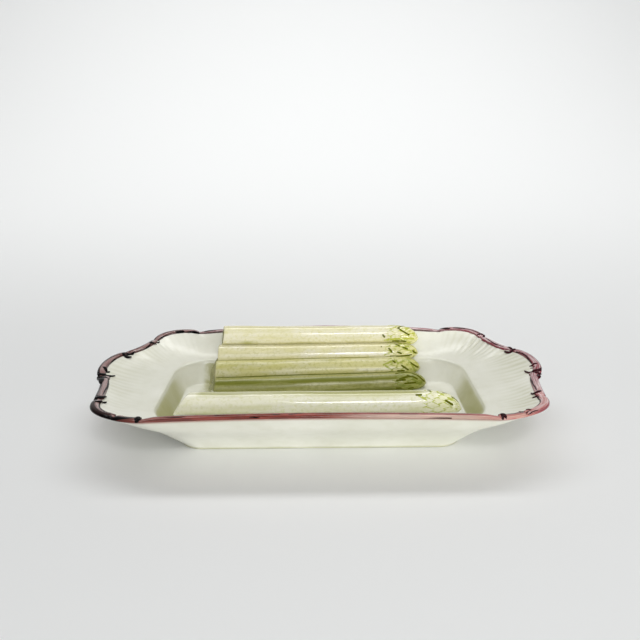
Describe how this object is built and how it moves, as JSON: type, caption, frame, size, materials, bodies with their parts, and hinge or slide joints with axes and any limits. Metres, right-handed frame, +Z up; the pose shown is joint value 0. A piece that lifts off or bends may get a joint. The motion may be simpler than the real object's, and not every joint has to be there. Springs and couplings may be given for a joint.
{
  "type": "asparagus dish",
  "caption": "Oblong scalloped faience dish with fluted end flanges, scrolled rim, a bank of moulded asparagus up the rear wall and a spear along the front.",
  "frame": {"origin": "middle of the bounding box in plan, on the plane that the foot stands on", "axes": "+X towards the tips of the spears, along the dish's length; +Y towards the side with the bank of spears; +Z up"},
  "size_m": [0.415, 0.22, 0.0642],
  "materials": {
    "ivory_glaze": "glossy, faintly crazed ivory glaze",
    "rim_glaze": "glossy mauve to rose wash with darker strokes at the joints",
    "spear_glaze_pale": "glossy cream glaze, yellow-green at the tips",
    "spear_glaze_green": "glossy pale olive glaze, darker in the grooves",
    "bed_glaze": "glossy grey-green glaze pooled in the corners"
  },
  "bodies": {
    "root": {"dish": "ivory_glaze", "spear_bed": "bed_glaze", "spear_bottom": "spear_glaze_green", "spear_lower": "spear_glaze_green", "spear_upper": "spear_glaze_pale", "spear_top": "spear_glaze_pale", "front_spear_bed": "ivory_glaze", "front_spear": "spear_glaze_pale", "rim_front": "rim_glaze", "rim_rear": "rim_glaze", "front_link_right": "rim_glaze", "front_corner_scroll_right": "rim_glaze", "knob_scroll_right": "rim_glaze", "end_scroll_right": "rim_glaze", "rear_link_right": "rim_glaze", "rear_corner_scroll_right": "rim_glaze", "front_link_left": "rim_glaze", "front_corner_scroll_left": "rim_glaze", "knob_scroll_left": "rim_glaze", "end_scroll_left": "rim_glaze", "rear_link_left": "rim_glaze", "rear_corner_scroll_left": "rim_glaze"}
  },
  "joints": []
}
